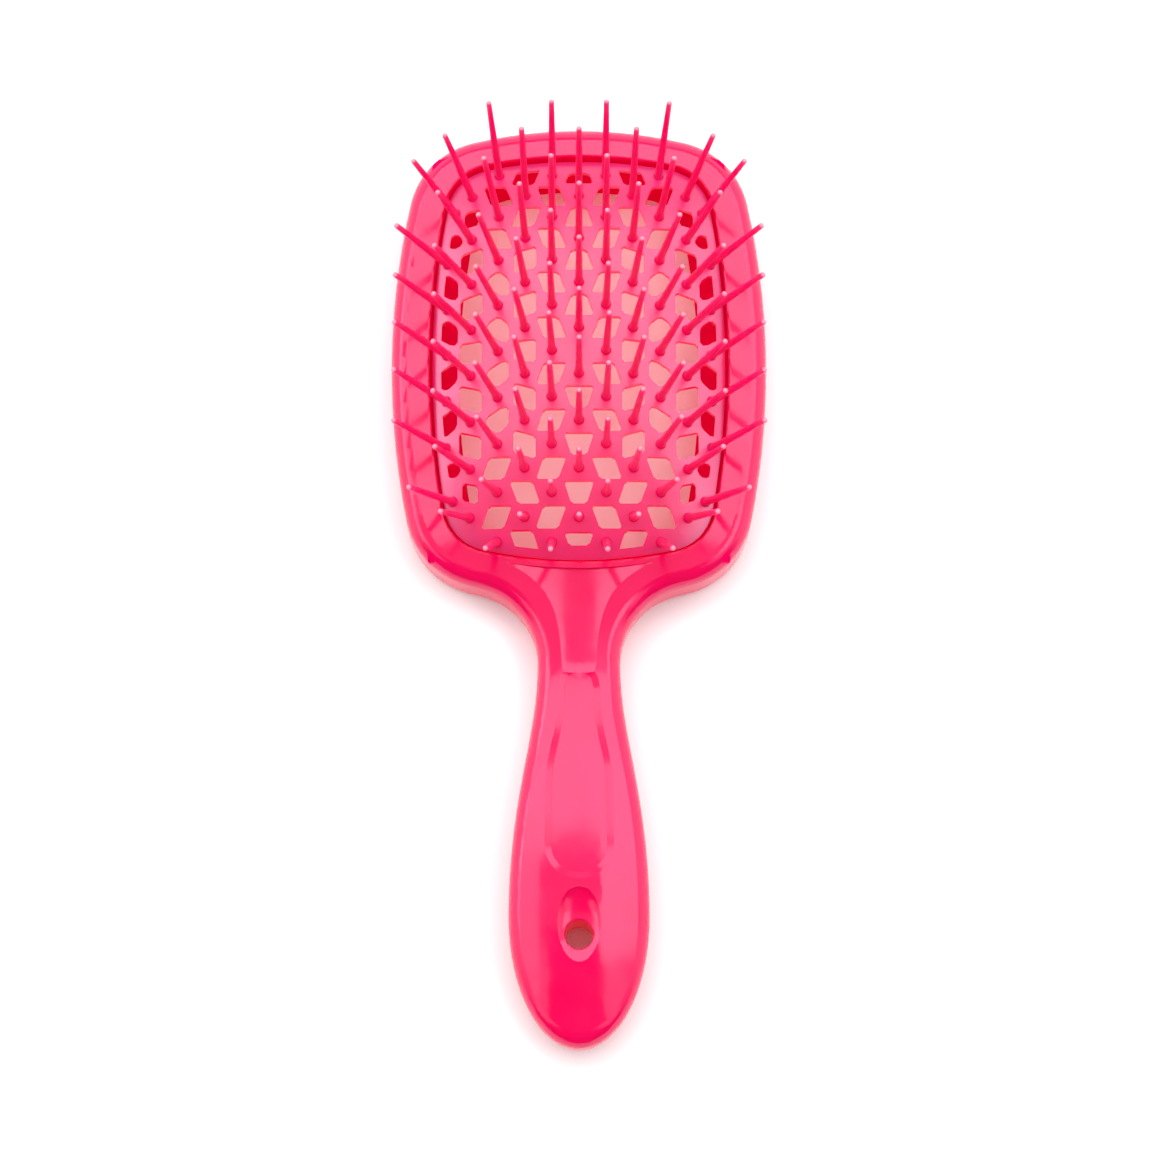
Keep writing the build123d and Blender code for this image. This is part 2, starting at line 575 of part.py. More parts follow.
with BuildPart() as vent_grid:
    with BuildSketch(Plane.XY.offset(SEAT_Z)):
        add(window_face(GRID_GAP))
    extrude(amount=TALL)
    add(Solid.extrude(dome, Vector(0, 0, -GRID_THICKNESS)), mode=Mode.INTERSECT)
    with BuildSketch(Plane.XY.offset(SEAT_Z)):
        add(window_face(GRID_GAP))
        add(window_face(GRID_GAP + RIM_WIDTH), mode=Mode.SUBTRACT)
    extrude(amount=RIM_HEIGHT)
    for place in hook_places():
        with BuildSketch(place):
            with BuildLine():
                Polyline((-HOOK_THICKNESS, HOOK_TOP), (0, HOOK_TOP),
                         (0, UNDER_LEDGE_Z - SNAP_CLEARANCE),
                         (HOOK_REACH, UNDER_LEDGE_Z - SNAP_CLEARANCE),
                         (0, HOOK_BOTTOM), (-HOOK_THICKNESS, HOOK_BOTTOM), close=True)
            make_face()
        extrude(amount=HOOK_WIDTH / 2, both=True)
    with BuildSketch():
        add(vents.sketch)
    extrude(amount=TALL, mode=Mode.SUBTRACT)
vent_grid.part.label = "vent_grid"

# ======================================================================== pins
def draw_in(start, end, height):
    """Taper in degrees that takes a polygon from one corner radius to another."""
    return degrees(atan((start - end) * cos(pi / PIN_SIDES) / height))


shaft_height = PIN_LENGTH - PIN_FOOT_HEIGHT - PIN_TIP_HEIGHT
with BuildPart() as pin:
    with BuildSketch():
        RegularPolygon(PIN_FOOT_RADIUS, PIN_SIDES)
    extrude(amount=PIN_FOOT_HEIGHT,
            taper=draw_in(PIN_FOOT_RADIUS, PIN_ROOT_RADIUS, PIN_FOOT_HEIGHT))
    extrude(pin.faces().sort_by(Axis.Z)[-1], amount=shaft_height,
            taper=draw_in(PIN_ROOT_RADIUS, PIN_TIP_RADIUS, shaft_height))
    extrude(pin.faces().sort_by(Axis.Z)[-1], amount=PIN_TIP_HEIGHT,
            taper=draw_in(PIN_TIP_RADIUS, PIN_END_RADIUS, PIN_TIP_HEIGHT))


def pin_rows(column):
    """Rows of one column's pins, counted from the hub towards the far end."""
    last = COLUMN_ENDS[column]
    return [last - i for i in range(int(2 * last) + 1)]


def pin_place(column, side, row):
    """Where a pin stands on the dome and which way it points."""
    x = COLUMN_X[column]
    y = row * ROW_PITCH
    if column == len(COLUMN_X) - 1 and abs(row) == COLUMN_ENDS[column]:
        x -= END_PIN_STEP_X
        y += END_PIN_STEP_Y if row > 0 else -END_PIN_STEP_Y
    along_x, along_y = dome_slope(x, y)
    steepness = sqrt(along_x ** 2 + along_y ** 2)
    lift = PIN_FOOT_RADIUS * (atan(PIN_LEAN * steepness) - atan(steepness)) + PIN_SEAT
    lean = Vector(-PIN_LEAN * along_x, -PIN_LEAN * along_y, 1).normalized()
    foot = Vector(x, HUB_Y + y, dome_height(x, y)) + lean * lift
    if side < 0:
        lean = Vector(-lean.X, lean.Y, lean.Z)
        foot = Vector(-foot.X, foot.Y, foot.Z)
    return Location(Plane(origin=foot, x_dir=(1, 0, -lean.X / lean.Z), z_dir=lean))


pin_columns = {}
for column in range(len(COLUMN_X)):
    for side, name in ((-1, "left"), (1, "right")):
        if column == 0 and side < 0:
            continue
        with BuildPart() as pins:
            with Locations(*[pin_place(column, side, row) for row in pin_rows(column)]):
                add(pin.part)
        label = "pins_centre" if column == 0 else f"pins_{name}_{column}"
        pins.part.label = label
        pin_columns[label] = pins.part

# ======================================================================= write
os.makedirs("parts", exist_ok=True)
export_step(frame.part, "parts/frame.step")
export_step(vent_grid.part, "parts/vent_grid.step")
for label, column_part in pin_columns.items():
    export_step(column_part, f"parts/{label}.step")
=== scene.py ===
"""Looks of a vented paddle brush: polished frame, satin vent grid and round styling pins.

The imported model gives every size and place.  The frame keeps its own mesh.  The grid and the
pins are built again here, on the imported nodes, with rounded edges and round shafts.
Lengths are metres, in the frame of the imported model.
"""

import logging
import math
from dataclasses import dataclass, field
from enum import Enum

import bmesh
import bpy
import numpy as np
from mathutils import Matrix, Vector
from mathutils.bvhtree import BVHTree
from mathutils.interpolate import poly_3d_calc


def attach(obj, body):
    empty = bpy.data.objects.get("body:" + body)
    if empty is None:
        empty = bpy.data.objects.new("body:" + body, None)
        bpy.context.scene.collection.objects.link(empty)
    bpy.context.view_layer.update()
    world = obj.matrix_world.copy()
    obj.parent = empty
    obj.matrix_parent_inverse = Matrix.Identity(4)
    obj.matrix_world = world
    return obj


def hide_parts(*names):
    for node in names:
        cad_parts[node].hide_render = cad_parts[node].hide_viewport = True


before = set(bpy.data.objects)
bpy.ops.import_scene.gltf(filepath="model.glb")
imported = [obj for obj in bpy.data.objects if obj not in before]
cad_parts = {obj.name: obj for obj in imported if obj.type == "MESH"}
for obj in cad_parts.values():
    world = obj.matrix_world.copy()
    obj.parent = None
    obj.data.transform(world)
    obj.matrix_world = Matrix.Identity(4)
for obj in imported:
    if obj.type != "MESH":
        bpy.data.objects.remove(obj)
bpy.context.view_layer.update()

LOG = logging.getLogger("paddle_brush")
MM = 0.001
BODY = "root"
WHITE = "#FFFFFF"

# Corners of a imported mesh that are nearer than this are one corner.
WELD = 0.002 * MM

# Mesh attributes that the finishes read: how much of the painted highlight a pin's corner
# takes near its tip, and whether a face of the frame has no gloss.
TIP_HIGHLIGHT = "tip"
UNPOLISHED = "unpolished"


class Slot(Enum):
    """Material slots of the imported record."""

    FRAME = "frame_plastic"
    GRID = "grid_plastic"
    PINS = "pin_plastic"


def linear(hex_colour: str, share: float = 1.0) -> tuple[float, float, float, float]:
    """Turn an sRGB hex colour into linear RGBA.

    Args:
        hex_colour: A colour such as "#FF2D6A".
        share: Part of the light that the colour stands for.

    Returns:
        Linear red, green and blue, and an alpha of one.
    """
    parts = [int(hex_colour[i:i + 2], 16) / 255 for i in (1, 3, 5)]
    toned = [c / 12.92 if c <= 0.04045 else ((c + 0.055) / 1.055) ** 2.4 for c in parts]
    return toned[0] * share, toned[1] * share, toned[2] * share, 1.0


def add_node(
    tree: bpy.types.NodeTree,
    kind: str,
    settings: dict[str, object] | None = None,
    inputs: dict[str, object] | None = None,
) -> bpy.types.Node:
    """Add one node with its settings, values and links.

    Args:
        tree: The node tree that gets the node.
        kind: The node's Blender type.
        settings: Attributes of the node.
        inputs: Socket names with a plain value, or an output socket to link from.

    Returns:
        The new node.
    """
    node = tree.nodes.new(kind)
    for name, value in (settings or {}).items():
        setattr(node, name, value)
    for name, value in (inputs or {}).items():
        socket = node.inputs[int(name)] if name.isdigit() else node.inputs[name]
        if isinstance(value, bpy.types.NodeSocket):
            tree.links.new(value, socket)
        else:
            socket.default_value = value
    return node


def ramp_stops(node: bpy.types.Node, stops: list[tuple[float, str]], share: float) -> None:
    """Give a colour ramp its stops.

    Args:
        node: The colour ramp node.
        stops: Places from 0 to 1 with an sRGB hex colour.
        share: Part of the light that the colours stand for.
    """
    elements = node.color_ramp.elements
    while len(elements) > 1:
        elements.remove(elements[-1])
    elements[0].position = stops[0][0]
    elements[0].color = linear(stops[0][1], share)
    for place, colour in stops[1:]:
        elements.new(place).color = linear(colour, share)


@dataclass(frozen=True)
class MouldedPlastic:
    """Dyed plastic, injection moulded.

    The dye lies right through it, and light goes a little way in, so that shaded places
    stay saturated.  Its gloss is the finish of the steel mould.

    Attributes:
        name: Blender's name for the material.
        colour: Dye colour.
        deep: Colour where the dye is richest.
        roughness: Middle of the gloss's range.
        gloss_change: Half of the gloss's range.
        grain_mm: Size of the mould's grain.
        grain_depth_mm: Depth of the mould's grain.
        wave_mm: Length of the slow waves that shrinkage leaves.
        wave_depth_mm: Depth of those waves.
        scatter_mm: How far light goes in.
        scatter: Share of the light that goes in.
        let_through: Share of the light that a thin wall lets through.
        through_colour: Colour of the light that has come through.
        ior: Refractive index, which sets the strength of the gloss.
        gloss_tint: Colour of the gloss.
        coat: Weight of the clear gloss on top.
        coat_roughness: Roughness of that gloss.
        tip: Paler colour painted on a pin's rounded tip as a painted highlight, where the tip
            attribute says so.
        part_polished: True when the UNPOLISHED attribute marks faces without gloss.
        cloud_mm: Size of the clouds in the dye.
        dye_range: Noise values at which the deep and the plain dye begin.
        rubbed_mm: Size of the patches in which the gloss changes.
        rubbed_range: Noise values between which the gloss changes.
        reach: How far red, green and blue go in, as shares of scatter_mm.
    """

    name: str
    colour: str
    deep: str
    roughness: float
    gloss_change: float
    grain_mm: float
    grain_depth_mm: float
    wave_mm: float
    wave_depth_mm: float
    scatter_mm: float
    scatter: float
    let_through: float
    through_colour: str = "#FF2474"
    ior: float = 1.54
    gloss_tint: str = "#DADAFF"
    coat: float = 0.0
    coat_roughness: float = 0.06
    tip: str | None = None
    part_polished: bool = False
    cloud_mm: float = 18.0
    dye_range: tuple[float, float] = (0.35, 0.65)
    rubbed_mm: float = 7.0
    rubbed_range: tuple[float, float] = (0.3, 0.7)
    reach: tuple[float, float, float] = (1.0, 0.25, 0.35)

    def build(self) -> bpy.types.Material:
        """Make the material's nodes.

        Returns:
            The material.
        """
        material = bpy.data.materials.new(self.name)
        material.use_nodes = True
        tree = material.node_tree
        tree.nodes.clear()
        place = add_node(tree, "ShaderNodeTexCoord").outputs["Object"]
        cloud = add_node(tree, "ShaderNodeTexNoise", inputs={
            "Vector": place, "Scale": 1 / (self.cloud_mm * MM), "Detail": 3.0})
        dye = add_node(tree, "ShaderNodeValToRGB", inputs={"Fac": cloud.outputs["Fac"]})
        kept = 1 - self.let_through
        ramp_stops(dye, list(zip(self.dye_range, (self.deep, self.colour))), kept)
        colour = dye.outputs["Color"]
        # Painted highlight: the colour is mixed towards a paler pink at the pins' tips,
        # standing in for the light that their rounded ends catch.
        if self.tip is not None:
            share = add_node(tree, "ShaderNodeAttribute", {"attribute_name": TIP_HIGHLIGHT})
            mixed = add_node(tree, "ShaderNodeMix", {"data_type": "RGBA"}, {
                "0": share.outputs["Fac"], "6": colour, "7": linear(self.tip, kept)})
            colour = mixed.outputs[2]
        rubbed = add_node(tree, "ShaderNodeTexNoise", inputs={
            "Vector": place, "Scale": 1 / (self.rubbed_mm * MM), "Detail": 6.0})
        gloss = add_node(tree, "ShaderNodeMapRange", inputs={
            "Value": rubbed.outputs["Fac"],
            "From Min": self.rubbed_range[0], "From Max": self.rubbed_range[1],
            "To Min": self.roughness - self.gloss_change,
            "To Max": self.roughness + self.gloss_change})
        wave = add_node(tree, "ShaderNodeTexNoise", inputs={
            "Vector": place, "Scale": 1 / (self.wave_mm * MM), "Detail": 1.0})
        grain = add_node(tree, "ShaderNodeTexNoise", inputs={
            "Vector": place, "Scale": 1 / (self.grain_mm * MM), "Detail": 2.0})
        slow = add_node(tree, "ShaderNodeBump", inputs={
            "Height": wave.outputs["Fac"], "Strength": 1.0,
            "Distance": self.wave_depth_mm * MM})
        fine = add_node(tree, "ShaderNodeBump", inputs={
            "Height": grain.outputs["Fac"], "Strength": 1.0,
            "Distance": self.grain_depth_mm * MM, "Normal": slow.outputs["Normal"]})
        shader = add_node(tree, "ShaderNodeBsdfPrincipled", inputs={
            "Base Color": colour, "Roughness": gloss.outputs["Result"],
            "Normal": fine.outputs["Normal"], "IOR": self.ior,
            "Specular Tint": linear(self.gloss_tint),
            "Subsurface Weight": self.scatter, "Subsurface Scale": self.scatter_mm * MM,
            "Subsurface Radius": self.reach,
            "Coat Weight": self.coat, "Coat Roughness": self.coat_roughness})
        surface = shader.outputs["BSDF"]
        if self.part_polished:
            marked = add_node(tree, "ShaderNodeAttribute", {"attribute_name": UNPOLISHED})
            dull = add_node(tree, "ShaderNodeBsdfDiffuse", inputs={
                "Color": colour, "Normal": fine.outputs["Normal"]})
            mixed = add_node(tree, "ShaderNodeMixShader", inputs={
                "Fac": marked.outputs["Fac"], "1": surface, "2": dull.outputs["BSDF"]})
            surface = mixed.outputs["Shader"]
        through = add_node(tree, "ShaderNodeBsdfTranslucent", inputs={
            "Color": linear(self.through_colour, self.let_through)})
        both = add_node(tree, "ShaderNodeAddShader", inputs={
            "0": surface, "1": through.outputs["BSDF"]})
        add_node(tree, "ShaderNodeOutputMaterial", inputs={"Surface": both.outputs["Shader"]})
        return material


# Polypropylene dyed right through, from a mould polished to a mirror: it shows the lamps as
# pale sheets with clear edges, keeps a deep pink where they don't reflect, and glows red in
# its thin and shaded places.  The window's inner walls are as the cutter left the mould, so
# they show the dye and no gloss.
FRAME_PLASTIC = MouldedPlastic(
    name="polypropylene_polished", colour="#F40662", deep="#F0025C", roughness=0.15,
    gloss_change=0.05, grain_mm=0.5, grain_depth_mm=0.002, wave_mm=14.0,
    wave_depth_mm=0.08, scatter_mm=1.6, scatter=0.2, let_through=0.3, coat=0.1,
    part_polished=True)
# The same polypropylene from a finely blasted mould: a broad even sheen that turns the plate
# lighter than the ring, and thin enough for the light to pass on to the table below it.
GRID_PLASTIC = MouldedPlastic(
    name="polypropylene_satin", colour="#F6289C", deep="#F41E94", roughness=0.30,
    gloss_change=0.02, grain_mm=0.35, grain_depth_mm=0.006, wave_mm=12.0,
    wave_depth_mm=0.03, scatter_mm=1.2, scatter=0.2, let_through=0.6, ior=1.85,
    gloss_tint="#DAE7FF")
# Nylon from fine drilled cavities: a soft narrow highlight along each shaft, with light held
# inside it, and tips painted paler as a painted highlight of their rounded ends, standing out
# as small dots.
PIN_PLASTIC = MouldedPlastic(
    name="nylon_satin", colour="#F80A80", deep="#F40678", roughness=0.34,
    gloss_change=0.06, grain_mm=0.3, grain_depth_mm=0.006, wave_mm=6.0,
    wave_depth_mm=0.02, scatter_mm=0.8, scatter=0.2, let_through=0.35, tip="#FFB4CE")


def put_in_scene(name: str, data: bpy.types.ID) -> bpy.types.Object:
    """Make an object for a mesh, a lamp or a camera and put it in the scene.

    Args:
        name: The object's name.
        data: Its mesh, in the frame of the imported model, or its lamp or camera.

    Returns:
        The new object.
    """
    made = bpy.data.objects.new(name, data)
    bpy.context.scene.collection.objects.link(made)
    return made


def joined_mesh(node: str) -> bmesh.types.BMesh:
    """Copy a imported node's mesh and join the corners that its faces share.

    Args:
        node: The node's name.

    Returns:
        The copy, which the caller frees.
    """
    mesh = bmesh.new()
    mesh.from_mesh(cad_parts[node].data)
    bmesh.ops.remove_doubles(mesh, verts=mesh.verts, dist=WELD)
    return mesh


class PackedNormals:
    """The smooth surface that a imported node's own normals describe.

    Attributes:
        AGREE: Cosine above which a packed normal is taken to be of the same surface.
    """

    AGREE = 0.8

    def __init__(self, node: str) -> None:
        """Read the node's triangles.

        Args:
            node: The node's name.
        """
        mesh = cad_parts[node].data
        mesh.calc_loop_triangles()
        points = [v.co.copy() for v in mesh.vertices]
        self.corners = [[points[i] for i in t.vertices] for t in mesh.loop_triangles]
        self.normals = [[mesh.corner_normals[i].vector.copy() for i in t.loops]
                        for t in mesh.loop_triangles]
        self.tree = BVHTree.FromPolygons(points, [t.vertices for t in mesh.loop_triangles])

    def at(self, point: Vector, facing: Vector) -> Vector:
        """Smooth normal at a point.

        Args:
            point: A point on the surface.
            facing: Rough direction of the surface there.

        Returns:
            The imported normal, or the rough one where the two disagree.
        """
        place, _, index, _ = self.tree.find_nearest(point)
        weights = poly_3d_calc(self.corners[index], place)
        smooth = Vector()
        for normal, weight in zip(self.normals[index], weights):
            smooth += weight * normal
        smooth.normalize()
        return smooth if smooth.dot(facing) > self.AGREE else facing


@dataclass
class BrushFrame:
    """The ring, neck and handle, one moulding, shown as packed.

    Attributes:
        node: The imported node.
        hub_y: Middle of the window.
        reach_x: Half width of the window.
        reach_y: Half length of the window.
        low: Height above which the middle of an unpolished face lies.
        high: Height below which the middle of an unpolished face lies.
    """

    node: str = "frame"
    hub_y: float = 51.5 * MM
    reach_x: float = 35.15 * MM
    reach_y: float = 49.85 * MM
    low: float = 0.5 * MM
    high: float = 13.4 * MM

    def in_window(self, mesh: bpy.types.Mesh, face: bpy.types.MeshPolygon) -> bool:
        """Tell whether a face is one of the window's inner walls or its ledge.

        Args:
            mesh: The frame's mesh.
            face: One of its faces.

        Returns:
            True when the whole face lies within the window.
        """
        corners = [mesh.vertices[i].co for i in face.vertices]
        return self.low < face.center.z < self.high and all(
            abs(c.x) < self.reach_x and abs(c.y - self.hub_y) < self.reach_y
            for c in corners)

    def build(self) -> bpy.types.Object:
        """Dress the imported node.

        Returns:
            The node's object.
        """
        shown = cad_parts[self.node]
        mesh = shown.data
        marks = mesh.attributes.new(UNPOLISHED, "FLOAT", "FACE")
        marks.data.foreach_set("value", [float(self.in_window(mesh, face))
                                         for face in mesh.polygons])
        mesh.materials.clear()
        mesh.materials.append(FRAME_PLASTIC.build())
        return shown


@dataclass
class VentGrid:
    """The pierced dome, with its moulded edges rounded.

    Attributes:
        node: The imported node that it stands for.
        flat: Neighbouring faces that turn by less than this become one.
        edge_round: Rounding of the edges of the plate and its holes.
        round_steps: Faces across a rounding.
        crease: Edges turned by more than this are rounded.
        pull_in: How far into its face a corner looks for its normal.
    """

    node: str = "vent_grid"
    flat: float = math.radians(0.5)
    edge_round: float = 0.22 * MM
    round_steps: int = 2
    crease: float = math.radians(32)
    pull_in: float = 0.05

    def build(self) -> bpy.types.Object:
        """Build the rounded plate and dress it.

        Returns:
            The plate's object.
        """
        work = joined_mesh(self.node)
        bmesh.ops.dissolve_limit(work, angle_limit=self.flat, verts=work.verts,
                                 edges=work.edges)
        mesh = bpy.data.meshes.new(self.node + "_moulded")
        work.to_mesh(mesh)
        work.free()
        plate = put_in_scene(mesh.name, mesh)
        bevel = plate.modifiers.new("edges", "BEVEL")
        bevel.width = self.edge_round
        bevel.segments = self.round_steps
        bevel.limit_method = "ANGLE"
        bevel.angle_limit = self.crease
        rounded = bpy.data.meshes.new_from_object(
            plate.evaluated_get(bpy.context.evaluated_depsgraph_get()))
        plate.modifiers.clear()
        plate.data = rounded
        self.smooth(rounded)
        rounded.materials.append(GRID_PLASTIC.build())
        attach(plate, BODY)
        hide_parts(self.node)
        return plate

    def smooth(self, mesh: bpy.types.Mesh) -> None:
        """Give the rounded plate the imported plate's smooth normals.

        Args:
            mesh: The rounded plate.
        """
        packed = PackedNormals(self.node)
        normals = [Vector()] * len(mesh.loops)
        for face in mesh.polygons:
            face.use_smooth = True
            for loop in face.loop_indices:
                corner = mesh.vertices[mesh.loops[loop].vertex_index].co
                inward = corner.lerp(face.center, self.pull_in)
                normals[loop] = packed.at(inward, face.normal)
        mesh.normals_split_custom_set(normals)


@dataclass
class PinColumn:
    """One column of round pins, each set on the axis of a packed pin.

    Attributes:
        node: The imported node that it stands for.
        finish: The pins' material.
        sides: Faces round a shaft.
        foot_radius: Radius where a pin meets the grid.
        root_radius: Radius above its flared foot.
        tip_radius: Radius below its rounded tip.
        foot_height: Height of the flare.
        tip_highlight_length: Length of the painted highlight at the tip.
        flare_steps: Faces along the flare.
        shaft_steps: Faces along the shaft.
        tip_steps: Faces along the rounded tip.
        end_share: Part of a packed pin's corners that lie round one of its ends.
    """

    node: str
    finish: bpy.types.Material
    sides: int = 20
    foot_radius: float = 1.28 * MM
    root_radius: float = 0.92 * MM
    tip_radius: float = 0.62 * MM
    foot_height: float = 0.8 * MM
    tip_highlight_length: float = 0.7 * MM
    flare_steps: int = 5
    shaft_steps: int = 6
    tip_steps: int = 6
    end_share: float = 0.25

    def axes(self) -> list[tuple[Vector, Vector]]:
        """Find the two ends of each packed pin's axis.

        Returns:
            Foot and tip of every pin.
        """
        work = joined_mesh(self.node)
        work.verts.index_update()
        ends = []
        met = set()
        for first in work.verts:
            if first.index in met:
                continue
            met.add(first.index)
            pin = [first]
            for corner in pin:  # The list grows while it is walked, until the pin is whole.
                for edge in corner.link_edges:
                    other = edge.other_vert(corner)
                    if other.index not in met:
                        met.add(other.index)
                        pin.append(other)
            points = np.array([v.co for v in pin])
            middle = points.mean(0)
            axis = np.linalg.svd(points - middle)[2][0]
            axis = axis if axis[2] > 0 else -axis
            along = (points - middle) @ axis
            order = np.argsort(along)
            cap = int(len(points) * self.end_share)
            ends.append((Vector(points[order[:cap]].mean(0)),
                         Vector(points[order[-cap:]].mean(0))))
        work.free()
        return ends

    def profile(self, length: float) -> list[tuple[float, float]]:
        """Heights and radii of a pin's rings.

        Args:
            length: Foot to tip.

        Returns:
            Height above the foot and radius there, from the foot up.
        """
        rings = []
        for i in range(self.flare_steps + 1):
            part = i / self.flare_steps
            curve = (1 - math.sin(part * math.pi / 2)) * (self.foot_radius - self.root_radius)
            rings.append((part * self.foot_height, self.root_radius + curve))
        dome_start = length - self.tip_radius
        for i in range(1, self.shaft_steps + 1):
            part = i / self.shaft_steps
            rings.append((self.foot_height + part * (dome_start - self.foot_height),
                          self.root_radius + part * (self.tip_radius - self.root_radius)))
        for i in range(1, self.tip_steps):
            turn = i / self.tip_steps * math.pi / 2
            rings.append((dome_start + self.tip_radius * math.sin(turn),
                          self.tip_radius * math.cos(turn)))
        return rings

    def add_pin(self, work: bmesh.types.BMesh, foot: Vector, tip: Vector,
                tip_highlight_layer: bmesh.types.BMLayerItem) -> None:
        """Add one round pin.

        Args:
            work: The mesh that gets the pin.
            foot: Lower end of its axis.
            tip: Upper end of its axis.
            tip_highlight_layer: Vertex layer that holds how much painted highlight a point
                takes.
        """
        length = (tip - foot).length
        turn = (tip - foot).to_track_quat("Z", "Y").to_matrix().to_4x4()
        place = Matrix.Translation(foot) @ turn
        loops = []
        for height, radius in self.profile(length):
            loop = []
            for i in range(self.sides):
                angle = 2 * math.pi * i / self.sides
                point = work.verts.new(place @ Vector((radius * math.cos(angle),
                                                       radius * math.sin(angle), height)))
                # Painted highlight: corners near the tip take the paler tip colour, fading out
                # over the highlight's length.
                from_tip = (length - height) / self.tip_highlight_length
                point[tip_highlight_layer] = min(1.0, max(0.0, 1 - from_tip))
                loop.append(point)
            loops.append(loop)
        for low, high in zip(loops, loops[1:]):
            for i in range(self.sides):
                k = (i + 1) % self.sides
                work.faces.new((low[i], low[k], high[k], high[i]))
        peak = work.verts.new(tip)
        peak[tip_highlight_layer] = 1.0
        for i in range(self.sides):
            work.faces.new((loops[-1][i], loops[-1][(i + 1) % self.sides], peak))
        work.faces.new(loops[0][::-1])

    def build(self) -> bpy.types.Object:
        """Build the column and dress it.

        Returns:
            The column's object.
        """
        work = bmesh.new()
        # Vertex layer for the painted highlight on each pin's tip.
        tip_highlight_layer = work.verts.layers.float.new(TIP_HIGHLIGHT)
        for foot, tip in self.axes():
            self.add_pin(work, foot, tip, tip_highlight_layer)
        mesh = bpy.data.meshes.new(self.node + "_round")
        work.to_mesh(mesh)
        work.free()
        for face in mesh.polygons:
            face.use_smooth = True
        mesh.materials.append(self.finish)
        column = put_in_scene(mesh.name, mesh)
        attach(column, BODY)
        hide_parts(self.node)
        return column


@dataclass(frozen=True)
class Softbox:
    """A rectangular lamp that faces straight down.

    Attributes:
        name: The lamp's name.
        left: Lowest X.
        right: Highest X.
        near: Lowest Y, towards the handle's end.
        far: Highest Y, towards the head's end.
        radiance: Brightness of its cloth.
        height: Height above the table.
        turn: Turn about its own middle, seen from above.
    """

    name: str
    left: float
    right: float
    near: float
    far: float
    radiance: float = 3.3
    height: float = 1.0
    turn: float = 0.0

    def build(self) -> bpy.types.Object:
        """Make the lamp.

        Returns:
            The lamp's object.
        """
        data = bpy.data.lights.new(self.name, "AREA")
        data.shape = "RECTANGLE"
        data.size = self.right - self.left
        data.size_y = self.far - self.near
        data.energy = self.radiance * math.pi * data.size * data.size_y
        lamp = put_in_scene(self.name, data)
        lamp.location = ((self.left + self.right) / 2, (self.near + self.far) / 2, self.height)
        lamp.rotation_euler.z = self.turn
        return lamp


# Each lamp stands where the photograph's pale sheets reflect; the gaps between them are the
# darker lines and the saturated patches.
SOFTBOXES = (
    Softbox("softbox_head", -1.80, 1.10, 0.24, 0.85),
    Softbox("softbox_right", 0.42, 1.00, -0.33, 0.24),
    Softbox("softbox_left", -1.60, -0.78, -0.40, 0.24, 2.3),
    Softbox("ceiling", -0.78, 0.42, -0.22, 0.20, 0.55),
    Softbox("strip_left", -2.28, -0.52, -0.93, -0.61, 1.1, turn=math.radians(23.6)),
    Softbox("strip_right", 0.40, 2.00, -0.97, -0.60, 1.1, turn=math.radians(-28.5)),
)


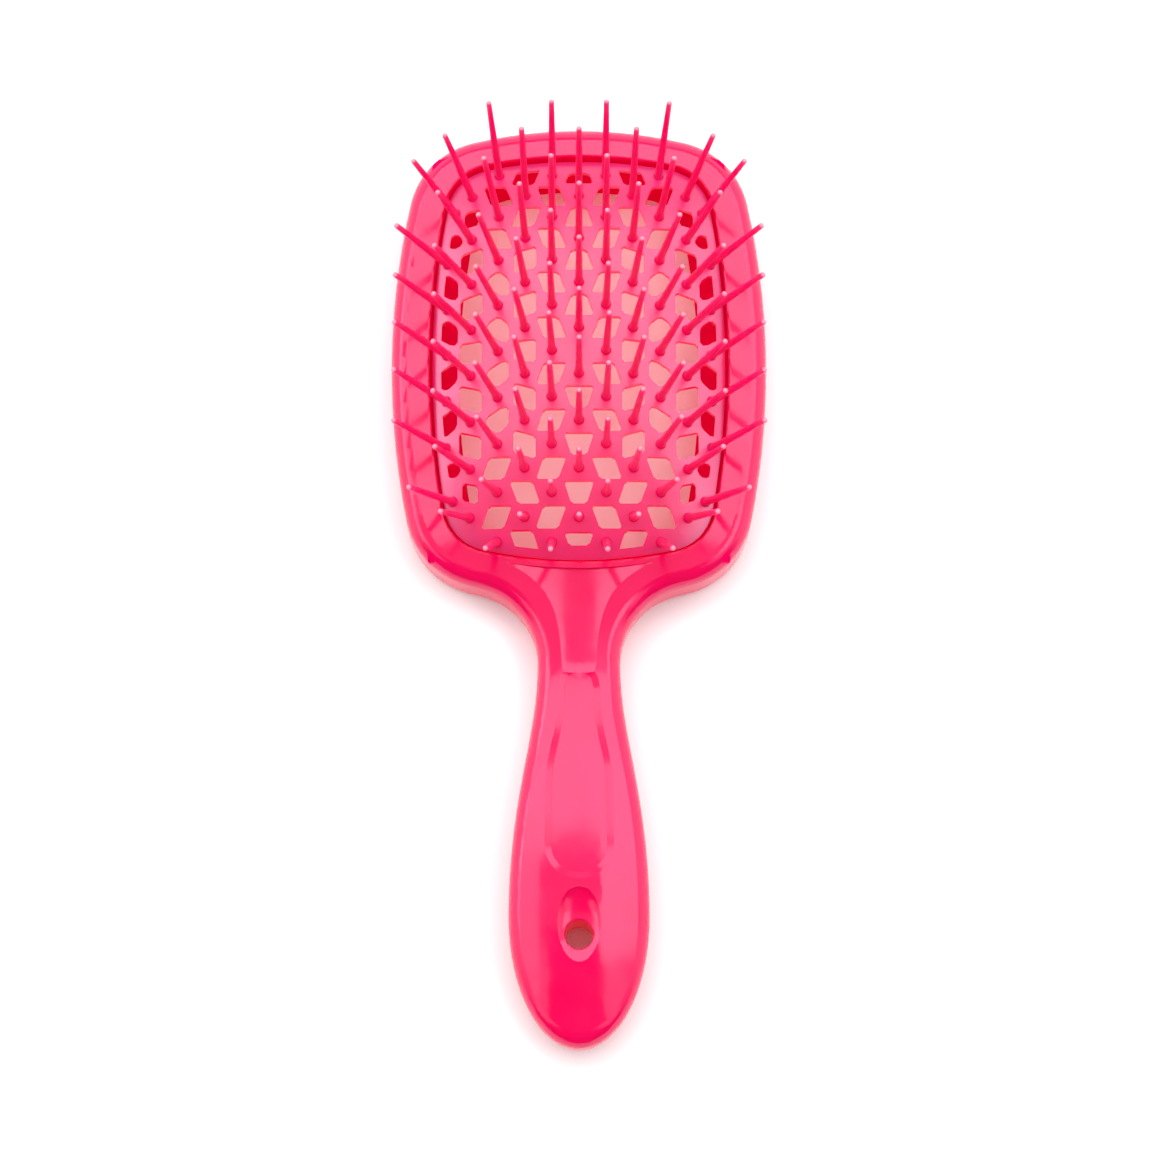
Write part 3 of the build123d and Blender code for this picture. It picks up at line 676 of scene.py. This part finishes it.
@dataclass
class Studio:
    """White table, soft lamps and the camera.

    Attributes:
        distance: Camera to its target.
        tilt: Camera's lean from straight above towards the handle.
        target: Point that the camera looks at.
        lens_mm: Focal length.
        sensor_mm: Width of the sensor.
        clip: Nearest and farthest distance that the camera sees.
        table_half: Half of the table's side.
        table_top: Height of the table, a hair below the brush's flat back, so that the two
            faces don't lie in one plane.
        paper: Colour of the table.
        fill: Strength of the room's even light.
        dark: Strength of the ceiling as the gloss shows it.
        walls: Strength of the walls beside and beyond the brush, as the gloss shows them.
        wall_top: Steepness, as a direction's Z, at which the walls begin to darken and at
            which the dark ceiling begins.
        near_dark: Direction's Y at which the dark side behind the camera ends and at which
            the walls are fully there.
    """

    distance: float = 0.700
    tilt: float = math.radians(14.3)
    target: Vector = field(default_factory=lambda: Vector((-0.00092, -0.0025, 0.0178)))
    lens_mm: float = 96.04
    sensor_mm: float = 36.0
    clip: tuple[float, float] = (0.05, 20.0)
    table_half: float = 0.6
    table_top: float = -0.05 * MM
    paper: str = "#FAFAFA"
    fill: float = 0.60
    dark: float = 0.04
    walls: float = 1.6
    wall_top: tuple[float, float] = (0.55, 0.75)
    near_dark: tuple[float, float] = (-0.45, -0.10)

    def camera(self) -> None:
        """Make the camera at the photograph's place."""
        data = bpy.data.cameras.new("camera")
        data.lens = self.lens_mm
        data.sensor_width = self.sensor_mm
        data.clip_start, data.clip_end = self.clip
        eye = put_in_scene("camera", data)
        back = Vector((0.0, -math.sin(self.tilt), math.cos(self.tilt)))
        eye.location = self.target + self.distance * back
        eye.rotation_mode = "QUATERNION"
        eye.rotation_quaternion = (-back).to_track_quat("-Z", "Y")
        bpy.context.scene.camera = eye

    def table(self) -> None:
        """Make the white table that the brush lies on."""
        work = bmesh.new()
        work.faces.new([
            work.verts.new((x * self.table_half, y * self.table_half, self.table_top))
            for x, y in ((-1, -1), (1, -1), (1, 1), (-1, 1))])
        mesh = bpy.data.meshes.new("table")
        work.to_mesh(mesh)
        work.free()
        board = put_in_scene(mesh.name, mesh)
        # Matt white paper: it has no gloss, so only the soft shadow and the pink light that
        # comes through the brush show on it.
        material = bpy.data.materials.new("paper_white")
        material.use_nodes = True
        tree = material.node_tree
        tree.nodes.clear()
        sheet = add_node(tree, "ShaderNodeBsdfDiffuse", inputs={"Color": linear(self.paper)})
        add_node(tree, "ShaderNodeOutputMaterial", inputs={"Surface": sheet.outputs["BSDF"]})
        mesh.materials.append(material)

    def world(self) -> None:
        """Light the room: white for the camera, walls and a ceiling for gloss, else even."""
        room = bpy.data.worlds.new("room")
        room.use_nodes = True
        tree = room.node_tree
        tree.nodes.clear()
        path = add_node(tree, "ShaderNodeLightPath")
        way = add_node(tree, "ShaderNodeTexCoord").outputs["Generated"]
        parts = add_node(tree, "ShaderNodeSeparateXYZ", inputs={"Vector": way})
        low = add_node(tree, "ShaderNodeMapRange", {"interpolation_type": "SMOOTHSTEP"}, {
            "Value": parts.outputs["Z"],
            "From Min": self.wall_top[0], "From Max": self.wall_top[1],
            "To Min": self.walls, "To Max": self.dark})
        ahead = add_node(tree, "ShaderNodeMapRange", {"interpolation_type": "SMOOTHSTEP"}, {
            "Value": parts.outputs["Y"],
            "From Min": self.near_dark[0], "From Max": self.near_dark[1]})
        shown = add_node(tree, "ShaderNodeMath", {"operation": "MULTIPLY"}, {
            "0": low.outputs["Result"], "1": ahead.outputs["Result"]})
        unseen = add_node(tree, "ShaderNodeMix", {"data_type": "FLOAT"}, {
            "0": path.outputs["Is Glossy Ray"], "2": self.fill, "3": shown.outputs[0]})
        strength = add_node(tree, "ShaderNodeMix", {"data_type": "FLOAT"}, {
            "0": path.outputs["Is Camera Ray"], "2": unseen.outputs[0], "3": 1.0})
        sky = add_node(tree, "ShaderNodeBackground", inputs={
            "Color": linear(WHITE), "Strength": strength.outputs[0]})
        add_node(tree, "ShaderNodeOutputWorld", inputs={"Surface": sky.outputs["Background"]})
        bpy.context.scene.world = room

    def build(self) -> None:
        """Make the whole studio."""
        bpy.context.scene.view_settings.view_transform = "Standard"
        self.camera()
        self.world()
        self.table()
        for box in SOFTBOXES:
            box.build()


def main() -> None:
    """Build the brush and its studio."""
    logging.basicConfig(level=logging.INFO, format="%(name)s: %(message)s")
    Studio().build()
    LOG.info("frame: %s", BrushFrame().build().name)
    LOG.info("grid: %s", VentGrid().build().name)
    finish = PIN_PLASTIC.build()
    for node in sorted(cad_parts):
        if node.startswith("pins_"):
            LOG.info("pins: %s", PinColumn(node, finish).build().name)


if __name__ == "__main__":
    main()
